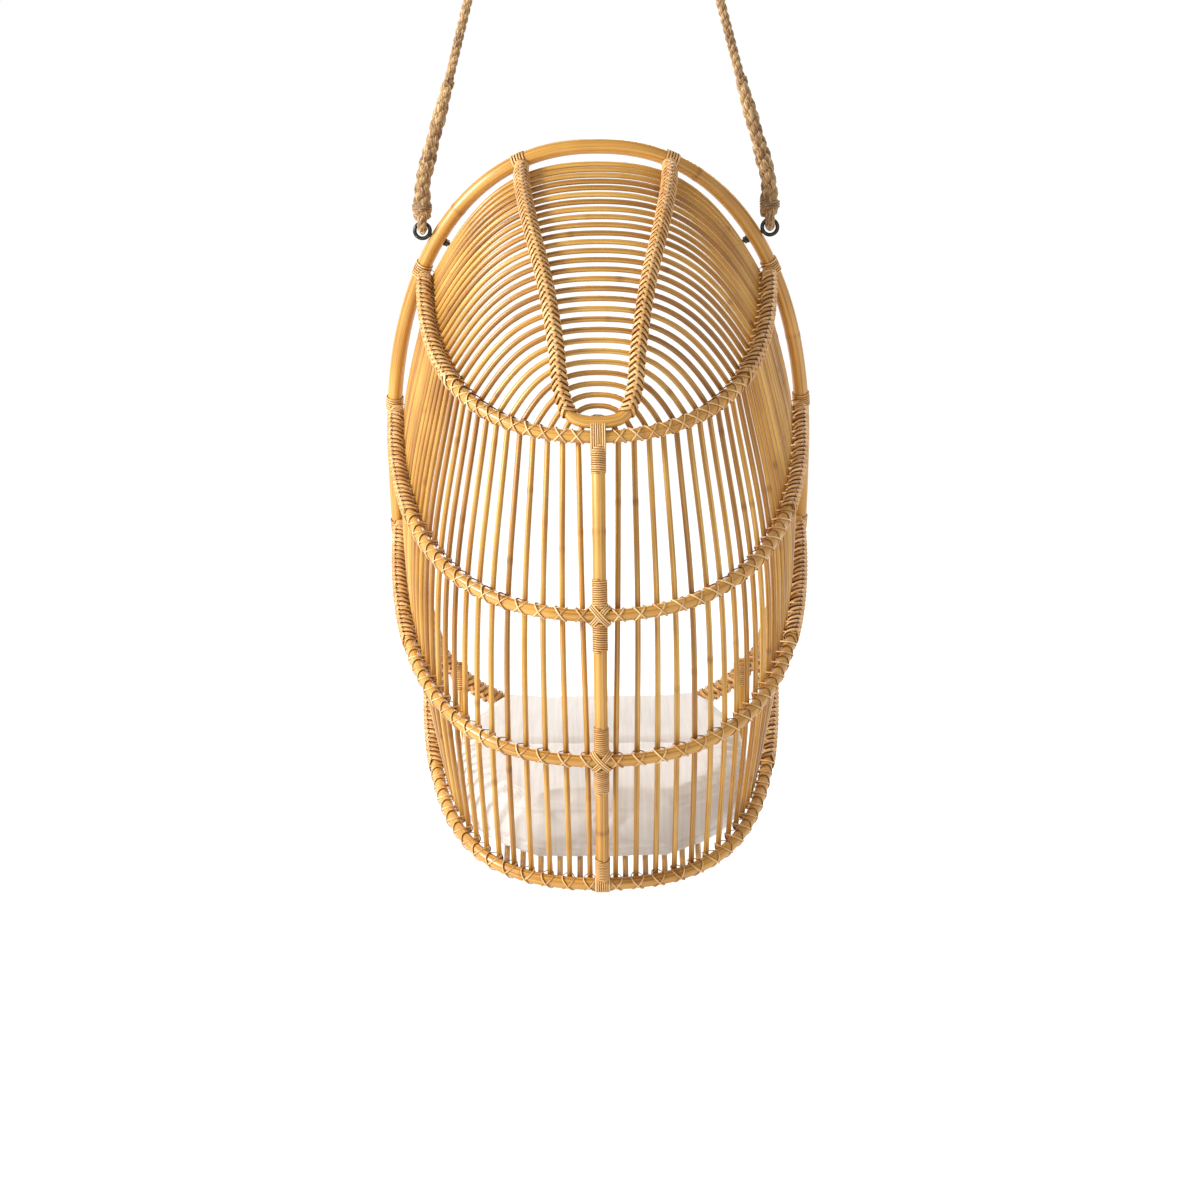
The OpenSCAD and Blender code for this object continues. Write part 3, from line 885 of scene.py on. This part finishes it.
rim_piece()
hoop_pieces()
strut_pieces()
spoke_pieces()
deck_piece()

# ---- bindings of split cane

RIB_WRAP_R, SEAT_WRAP_R = (RIB_R + 0.8) * MM, (RIB_R + 0.7) * MM
RIM_WRAP_R, RIM_PLAIT_R = (RIM_R + 0.9) * MM, (RIM_R + 0.6) * MM
STRUT_WRAP_R = (STRUT_R + 0.7) * MM
PLAIT_PITCH, PLAIT_WIDTH, PLAIT_RISE, RIM_PLAIT_RISE = 12 * MM, 7.6 * MM, 15 * MM, 17 * MM
CROWN_PITCH, CROWN_WIDTH = 10 * MM, 6.6 * MM
PLAIT_FROM, PLAIT_TURN, PLAIT_STEPS = -22, 205, 9
PLAIT_SHARES = [0.42, 0.40, 0.40, 0.5]
PLAIT_INSET, CROWN_PLAIT_INSET = 0.016, 0.014
LASH_SLANT, LASH_WIDTH = math.radians(48), 3.1 * MM
STRUT_CROSS = math.radians(42)
RIM_STEPS, RIM_BOTTOM, RIM_PLAIT_END = 240, 180, 142
TIE_WIDTH = 3.9 * MM


class Line:
    """A pole's own line, read by length, with the direction that faces out at each point."""

    def __init__(self, points, outs):
        self.points, self.outs = points, outs
        self.dirs = directions(points)
        self.sums = run_lengths(points)
        self.length = self.sums[-1]

    def at(self, run):
        run = min(self.length, max(0, run))
        i = 0
        while i < len(self.sums) - 2 and self.sums[i + 1] < run:
            i += 1
        part = (run - self.sums[i]) / max(1e-9, self.sums[i + 1] - self.sums[i])
        point = self.points[i].lerp(self.points[i + 1], part)
        direction = self.dirs[i].lerp(self.dirs[i + 1], part).normalized()
        out = self.outs[i].lerp(self.outs[i + 1], part)
        out = (out - out.dot(direction) * direction).normalized()
        return point, direction, out

    def round(self, run, angle, radius):
        """The point on a circle round the pole, and the way it faces; angle 0 faces out."""
        point, direction, out = self.at(run)
        normal = math.cos(angle) * out + math.sin(angle) * direction.cross(out)
        return point + radius * normal, normal


def plait(build, line, start, end, radius, pitch, width, rise):
    """Strands from both sides that meet in a herringbone along the pole's outer face."""
    count = max(1, round(abs(end - start) / pitch))
    way = 1 if end > start else -1
    for k in range(count):
        base = start + (end - start) * k / count
        for side in (1, -1):
            points, normals = [], []
            tone = tone_near(0.52, 0.1)
            shift = 0 if side > 0 else way * pitch / 2
            for s in range(PLAIT_STEPS + 1):
                u = s / PLAIT_STEPS
                angle = side * math.radians(PLAIT_FROM + PLAIT_TURN * u)
                lift = (1.2 * math.exp(-((u / 0.12) ** 2)) + 1.0 - 0.7 * u) * MM
                run = base + shift + rise * math.sin(min(1, u * 1.7) * math.pi / 2)
                p, n = line.round(run, angle, radius + lift)
                points.append(p)
                normals.append(n)
            build.strip(points, normals, width, 2.2 * MM, tone)


def coil(build, line, start, end, radius, width, tone=0.5):
    """Flat cane wound closely round a pole."""
    turns = max(2, round(abs(end - start) / width))
    steps = turns * 14
    points, normals = [], []
    for s in range(steps + 1):
        share = s / steps
        p, n = line.round(start + (end - start) * share, 2 * math.pi * turns * share, radius)
        points.append(p)
        normals.append(n)
    build.strip(points, normals, width * 0.96, 1.3 * MM, tone)


def band_rings(build, line, middle, count, spacing, radius, width):
    """Separate turns side by side round a pole."""
    for k in range(count):
        run = middle + (k - (count - 1) / 2) * spacing
        points, normals = [], []
        for a in full_turn(24):
            p, n = line.round(run, a, radius)
            points.append(p)
            normals.append(n)
        build.strip(points, normals, width, 1.6 * MM, tone_near(0.55, 0.12), closed=True)


def hull_loop(circles, clear):
    """A tight belt round circles or ovals in a plane: (x, y, half width, half height)."""
    pts = []
    for cx, cy, rx, ry in circles:
        for a in full_turn(40):
            pts.append((cx + (rx + clear) * math.cos(a), cy + (ry + clear) * math.sin(a)))
    pts.sort()

    def half(points):
        chain = []
        for p in points:
            while len(chain) > 1:
                (ax, ay), (bx, by) = chain[-2], chain[-1]
                if (bx - ax) * (p[1] - ay) - (by - ay) * (p[0] - ax) > 0:
                    break
                chain.pop()
            chain.append(p)
        return chain[:-1]

    belt = [Vector((x, y, 0)) for x, y in half(pts) + half(pts[::-1])]
    return resample(belt, path_length(belt, closed=True) / 26, closed=True)


def belt(build, loop, centre, across, out, width, tone):
    """Lays a flat loop in the plane of two directions as a strip that faces outwards."""
    middle = sum(loop, Vector()) / len(loop)
    points = [centre + p.x * across + p.y * out for p in loop]
    normals = []
    for p, d in zip(loop, directions(loop, closed=True)):
        n = Vector((d.y, -d.x, 0))
        if n.dot(p - middle) < 0:
            n = -n
        normals.append(n.x * across + n.y * out)
    build.strip(points, normals, width, 1.2 * MM, tone, closed=True)


def crossing_frame(k, i, side):
    """Where spoke i crosses hoop k: the spoke's middle, along the hoop, along the spoke, out."""
    share = spoke_share(k, i)
    centre = STATIONS[k].point(share)
    along = (STATIONS[k].point(share + 0.01) - STATIONS[k].point(share - 0.01)).normalized()
    out = outward(k, share)
    if side < 0:
        centre, along, out = flip_x(centre), -flip_x(along), flip_x(out)
    return place(centre), along, out.cross(along).normalized(), out


def cross_lashings(build, k):
    """Two crossed strips at each place where a spoke lies against a hoop."""
    rib = (0, HOOP_LIFT * MM, RIB_R * MM / math.sin(LASH_SLANT), RIB_R * MM)
    spoke = (0, 0, SPOKE_R * MM / math.cos(LASH_SLANT), SPOKE_R * MM)
    for i in range(1, SPOKES + 1):
        for side in (1, -1):
            centre, along, up, out = crossing_frame(k, i, side)
            for turn, clear in ((LASH_SLANT, 0.5), (-LASH_SLANT, 1.3)):
                across = math.cos(turn) * along + math.sin(turn) * up
                loop = hull_loop([rib, spoke], clear * MM)
                belt(build, loop, centre, across, out, LASH_WIDTH, tone_near(0.62, 0.12))


def hoop_line(k):
    pts = smooth_path(hoop_path(k), 3)
    return Line(placed(pts), [Vector((p.x / 330 * 0.8, 1, 0.25)).normalized() for p in pts])


def hoop_bindings():
    for k, name in enumerate(HOOP_NAMES):
        build = Build()
        cross_lashings(build, k)
        line = hoop_line(k)
        run = PLAIT_SHARES[k] * line.length / 2
        for start, end in ((PLAIT_INSET, run), (line.length - PLAIT_INSET, line.length - run)):
            way = 1 if end > start else -1
            rise = way * PLAIT_RISE
            plait(build, line, start, end, RIB_WRAP_R, PLAIT_PITCH, PLAIT_WIDTH, rise)
            first, last = start - way * 0.012, start + way * 0.008
            coil(build, line, first, last, RIB_WRAP_R, 4 * MM, 0.55)
        build.make(f"{name}_bindings", STRIP, "chair")


def crown_bindings():
    pts = crown_path()
    outs = [Vector((p.x * 0.4, p.y - 40, p.z - 700)).normalized() for p in pts]
    line = Line(placed(pts), outs)
    build = Build()
    arm = line.length / 2 - 0.055
    inset = CROWN_PLAIT_INSET
    for start, end in ((inset, arm), (line.length - inset, line.length - arm)):
        way = 1 if end > start else -1
        rise = way * PLAIT_RISE
        plait(build, line, start, end, RIB_WRAP_R, CROWN_PITCH, CROWN_WIDTH, rise)
        first, last = start - way * 0.012, start + way * 0.01
        coil(build, line, first, last, RIB_WRAP_R, 4 * MM, 0.55)
    build.make("crown_loop_bindings", STRIP, "chair")


def rim_line():
    pts = [rim_point(2 * math.pi * i / RIM_STEPS) for i in range(RIM_STEPS + 1)]
    return Line(placed(pts), [-RIM_FRONT_DIR for _ in pts])


def rim_bindings():
    """Turns of cane where each hoop's end is tied to the rim, and a plait along the bottom."""
    line = rim_line()
    build = Build()

    def tie(end, count, spacing):
        for side in (1, -1):
            spot = place((side * abs(end.x), end.y, end.z))
            near = min(range(RIM_STEPS), key=lambda i: (line.points[i] - spot).length)
            band_rings(build, line, line.sums[near], count, spacing, RIM_WRAP_R, TIE_WIDTH)

    for k in range(4):
        tie(hoop_half(k)[-1], 6, 4.1 * MM)
    tie(crown_path()[0], 5, 4.6 * MM)
    bottom = line.sums[RIM_BOTTOM]
    arm = bottom - line.sums[RIM_PLAIT_END]
    for way in (1, -1):
        plait(build, line, bottom - way * arm, bottom, RIM_PLAIT_R, PLAIT_PITCH, PLAIT_WIDTH,
              way * RIM_PLAIT_RISE)
    build.make("rim_bindings", STRIP, "chair")


def strut_bindings():
    build = Build()
    for k in range(3):
        pts = smooth_path(strut_path(k), 4)
        line = Line(placed(pts), [Vector((0, 1, 0))] * len(pts))
        for start, end in ((0.004, 0.046), (line.length - 0.004, line.length - 0.046)):
            coil(build, line, start, end, STRUT_WRAP_R, 3.4 * MM, 0.52)
    for k in range(4):
        centre = place(hoop_middle(k))
        out = outward(k, 0.001)
        across = Vector((1, 0, 0))
        up = out.cross(across).normalized()
        if up.z < 0:
            up = -up
        steep = (7, 14, 14, 20)[k]
        loop = hull_loop([(0, 0, (steep + 6) * MM, RIB_R * MM)], 1.2 * MM)
        if k in (1, 2):
            for turn in (STRUT_CROSS, -STRUT_CROSS):
                slanted = math.cos(turn) * up + math.sin(turn) * across
                beside = math.cos(turn) * across - math.sin(turn) * up
                lift = out * (0.9 * MM if turn > 0 else 0)
                for shift in (-3.4, 0, 3.4):
                    spot = centre + beside * shift * MM + lift
                    belt(build, loop, spot, slanted, out, 3.4 * MM, tone_near(0.6, 0.1))
        else:
            for j in range(7):
                off = across * (j - 3) * 3.5 * MM
                belt(build, loop, centre + off, up, out, 3.3 * MM, tone_near(0.6, 0.14))
    build.make("strut_bindings", STRIP, "chair", ["strut_wraps"])


def deck_bindings():
    build = Build()
    pts = SEAT_PATH
    line = Line(placed(pts), [Vector((0, 0, 1)) for _ in pts])
    half = (DECK_CANES - 1) // 2
    for i in range(-half, half + 1):
        p = deck_path(i)[-1]
        near = min(range(len(pts)), key=lambda j: abs(pts[j].x - p.x))
        centre = place(seat_at(p.x))
        along = line.dirs[near]
        up = Vector((-along.z, 0, along.x)).normalized()
        forward = along.cross(up).normalized()
        deck_cane = (0, (RIB_R + DECK_R + GAP) * MM, RIB_R * MM * 0.9, DECK_R * MM)
        loop = hull_loop([(0, 0, RIB_R * MM, RIB_R * MM), deck_cane], 0.8 * MM)
        for shift in (-6.6, 6.6):
            spot = centre + along * shift * MM
            belt(build, loop, spot, forward, up, 3.2 * MM, tone_near(0.55, 0.12))
    for start, end in ((0.004, 0.05), (line.length - 0.004, line.length - 0.05)):
        coil(build, line, start, end, SEAT_WRAP_R, 4 * MM, 0.5)
    build.make("deck_bindings", STRIP, "chair")


hoop_bindings()
crown_bindings()
rim_bindings()
strut_bindings()
deck_bindings()

# ---- seat cushion: a boxed canvas cushion, swollen by cloth simulation

CUSHION_W, CUSHION_D, CUSHION_T = 495, 520, 104
CUSHION_FRONT, CUSHION_FRONT_HEIGHT = -282, 107
SLOPE_COS, SLOPE_SIN = math.cos(math.radians(8)), math.sin(math.radians(8))
SEAM_Y = 0.5 * CUSHION_D
VOXEL, QUICK_VOXEL = 5.5 * MM, 9 * MM
CLOTH_PRESSURE, CLOTH_CAP, CLOTH_FRAMES = 4, 9 * MM, 20


def cushion_half_width(v):
    v = min(1, max(0, v))
    back = max(0, (v - 0.35) / 0.65) ** 3.6 * 0.5
    front = max(0, (0.35 - v) / 0.35) ** 1.3 * 0.25
    return CUSHION_W / 2 * (1 - back - front)


def cushion_place(x, y, z):
    """A point in the cushion's own directions, in millimetres, as a point of the row frame."""
    c, s = SLOPE_COS, SLOPE_SIN
    return place((x, CUSHION_FRONT + y * c + z * s, CUSHION_FRONT_HEIGHT - y * s + z * c))


def cushion_local(p):
    c, s = SLOPE_COS, SLOPE_SIN
    y = p[1] / MM - CUSHION_FRONT
    z = p[2] / MM + HANG_DROP - CUSHION_FRONT_HEIGHT
    return p[0] / MM, y * c - z * s, y * s + z * c


def cushion_start():
    """A closed box with rounded corners, a little smaller than the finished cushion."""
    pts, faces, steps = [], [], 26
    levels = []
    for k in range(7):
        a = math.pi / 2 * k / 6
        levels.append((1 + 10 * (1 - math.sin(a)), 1 + 10 * (1 - math.cos(a))))
    levels += [(inset, CUSHION_T - 2 - z) for inset, z in reversed(levels)]
    for inset, z in levels:
        right = []
        for k in range(steps + 1):
            v = 0.5 - 0.5 * math.cos(math.pi * k / steps)
            y = inset + (CUSHION_D - 2 * inset) * v
            round_off = 9 * (max(0, abs(2 * v - 1) - 0.86) / 0.14) ** 2
            right.append((cushion_half_width(v) - inset - round_off, y))
        for x, y in right + [(-x, y) for x, y in reversed(right)]:
            pts.append(cushion_place(x, y, z))
    n = 2 * (steps + 1)
    for i in range(len(levels) - 1):
        for j in range(n):
            k = (j + 1) % n
            faces.append((i * n + j, i * n + k, (i + 1) * n + k, (i + 1) * n + j))
    last = (len(levels) - 1) * n
    for k in range(steps):
        faces.append((k + 1, k, n - 1 - k, n - 2 - k))
        faces.append((last + k, last + k + 1, last + n - 2 - k, last + n - 1 - k))
    mesh = bpy.data.meshes.new("cushion_canvas")
    mesh.from_pydata([tuple(p) for p in pts], [], faces)
    piece = bpy.data.objects.new("cushion_canvas", mesh)
    bpy.context.scene.collection.objects.link(piece)
    return piece


def settle(piece):
    """Puts what the modifiers make of a piece into its mesh, and takes them off."""
    seen = piece.evaluated_get(bpy.context.evaluated_depsgraph_get())
    mesh = bpy.data.meshes.new_from_object(seen)
    piece.modifiers.clear()
    old = piece.data
    piece.data = mesh
    bpy.data.meshes.remove(old)


def inflate(piece):
    """Swells a piece by cloth pressure, and caps how far each point moves."""
    scene = bpy.context.scene
    cloth = piece.modifiers.new("cloth", "CLOTH")
    cloth.settings.quality = 4
    cloth.settings.mass = 0.3
    cloth.settings.use_pressure = True
    cloth.settings.uniform_pressure_force = CLOTH_PRESSURE
    cloth.settings.effector_weights.gravity = 0
    start = [v.co.copy() for v in piece.data.vertices]
    for moment in range(1, CLOTH_FRAMES + 1):
        scene.frame_set(moment)
    settle(piece)
    scene.frame_set(1)
    for vertex, old in zip(piece.data.vertices, start):
        move = vertex.co - old
        if move.length > CLOTH_CAP:
            vertex.co = old + move * (CLOTH_CAP / move.length)


def bell(value, width):
    return math.exp(-((value / width) ** 2))


def cushion_shape(p, normal):
    """Seams, piping and the flat underside, in the cushion's own directions."""
    x, y, z = cushion_local(p)
    top = CUSHION_T - 5
    v = y / CUSHION_D
    reach = cushion_half_width(v) - abs(x)
    push = 0.0
    if z > 0.6 * CUSHION_T:
        push -= 5.5 * bell(y - SEAM_Y, 13) + 3.5 * bell(y - SEAM_Y, 3.5)
        pucker = math.sin(x * 0.085 + 1.3 * math.sin(y * 0.03))
        push += 0.9 * pucker * bell(y - SEAM_Y - 16, 18)
    edge = min(reach, y, CUSHION_D - y)
    if edge < 34:
        for level in (20, top - 16):
            push += 2.6 * bell(z - level, 3.0) - 1.6 * bell(z - level, 8.5)
        push += 0.8 * math.sin(x * 0.06 + y * 0.05) * bell(z - top / 2, 26)
    out = Vector(p) + push * MM * Vector(normal)
    x, y, z = cushion_local(out)
    # the underside sags onto the middle canes of the deck
    sag = 6 * max(0, 1 - (x / 125) ** 2) * max(0, 1 - z / 60)
    return cushion_place(x, y, max(z, 0.4) - sag)


def canvas():
    """Off-white woven canvas: fine warp and weft, faint slubs, soft sheen."""
    material, tree, surface = shader("cushion_canvas", 0.82, sheen_weight=0.3, sheen_roughness=0.5)
    where = object_space(tree)

    def threads(direction, scale, **more):
        inputs = {"Vector": where, "Scale": scale, "Distortion": 0.6, "Detail": 2.0, **more}
        made = node(tree, "ShaderNodeTexWave", inputs, bands_direction=direction)
        return made.outputs["Fac"]

    def times(value, factor):
        return math_node(tree, "MULTIPLY", value, factor)

    warp = threads("X", 190.0, **{"Detail Scale": 1.5})
    weft = threads("DIAGONAL", 210.0)
    stretched = node(tree, "ShaderNodeMapping", {"Vector": where, "Scale": (160, 7, 7)}).outputs[0]
    slub = noise(tree, stretched, 1.0, 4.0)
    soft = noise(tree, where, 7.0, 3.0)
    weave = math_node(tree, "ADD", times(warp, 0.5), times(weft, 0.3))
    total = math_node(tree, "ADD", times(weave, 0.45), times(slub, 0.5))
    total = math_node(tree, "ADD", total, times(soft, 0.35))
    paint(tree, surface, total, [(0.3, "bdb7b0"), (0.5, "d6d2cd"), (0.75, "e6e3df")])
    emboss(tree, surface, math_node(tree, "ADD", weave, slub), 0.35, 0.0007)
    return material


def cushion():
    piece = cushion_start()
    remesh = piece.modifiers.new("remesh", "REMESH")
    remesh.mode = "VOXEL"
    remesh.voxel_size = VOXEL
    settle(piece)
    inflate(piece)
    divide = piece.modifiers.new("divide", "SUBSURF")
    divide.levels = divide.render_levels = 1
    settle(piece)
    mesh = piece.data
    moved = [cushion_shape(v.co, v.normal) for v in mesh.vertices]
    for vertex, point in zip(mesh.vertices, moved):
        vertex.co = point
    mesh.materials.clear()
    mesh.materials.append(canvas())
    mesh.polygons.foreach_set("use_smooth", [True] * len(mesh.polygons))
    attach(piece, "cushion")
    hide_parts("seat_cushion")


cushion()

# ---- steel fittings keep their CAD shape

for name in ("eye_bolt_left", "eye_bolt_right", "rim_washers", "rim_nuts",
             "ceiling_plate_left", "ceiling_plate_right"):
    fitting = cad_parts[name]
    fitting.data.materials.clear()
    fitting.data.materials.append(STEEL)

# ---- floor, light and surroundings


def studio():
    scene = bpy.context.scene
    world = bpy.data.worlds.new("studio")
    world.use_nodes = True
    tree = world.node_tree
    tree.nodes["Background"].inputs["Color"].default_value = (1, 1, 1, 1)
    around = node(tree, "ShaderNodeTexCoord").outputs["Generated"]
    way = node(tree, "ShaderNodeSeparateXYZ", {"Vector": around}).outputs
    # the studio's wall is brightest at the chair's open front, and white all round the horizon
    wall = remap(tree, way["Y"], -0.5, 0.5, 1.0, 0.32)
    high = remap(tree, way["Z"], 0.1, 0.4, 0.0, 1.0)
    fall = math_node(tree, "MULTIPLY", math_node(tree, "SUBTRACT", wall, 1.0), high)
    strength = math_node(tree, "ADD", fall, 1.0)
    tree.links.new(strength, tree.nodes["Background"].inputs["Strength"])
    scene.world = world
    scene.view_settings.view_transform = "Standard"
    mesh = bpy.data.meshes.new("floor")
    corners = [(x * FLOOR_REACH, y * FLOOR_REACH, FLOOR_Z)
               for x, y in ((-1, -1), (1, -1), (1, 1), (-1, 1))]
    mesh.from_pydata(corners, [], [(0, 1, 2, 3)])
    floor = bpy.data.objects.new("floor", mesh)
    scene.collection.objects.link(floor)
    material, tree, surface = shader("pale_floor", 0.9)
    surface.inputs["Base Color"].default_value = (0.3, 0.3, 0.3, 1)
    surface.inputs["Emission Color"].default_value = (1, 1, 1, 1)
    surface.inputs["Emission Strength"].default_value = 0.8
    mesh.materials.append(material)
    for name, place_at, size, power in (
        ("key", (3.3, 1.5, 0.3), 1.0, 190),
        ("back", (-0.8, -3.4, 1.2), 1.8, 80),
    ):
        data = bpy.data.lights.new(name, "AREA")
        data.size = size
        data.energy = power
        lamp = bpy.data.objects.new(name, data)
        lamp.location = place_at
        aim = Vector((0, 0, -1.1)) - Vector(place_at)
        lamp.rotation_euler = aim.to_track_quat("-Z", "Y").to_euler()
        scene.collection.objects.link(lamp)


studio()
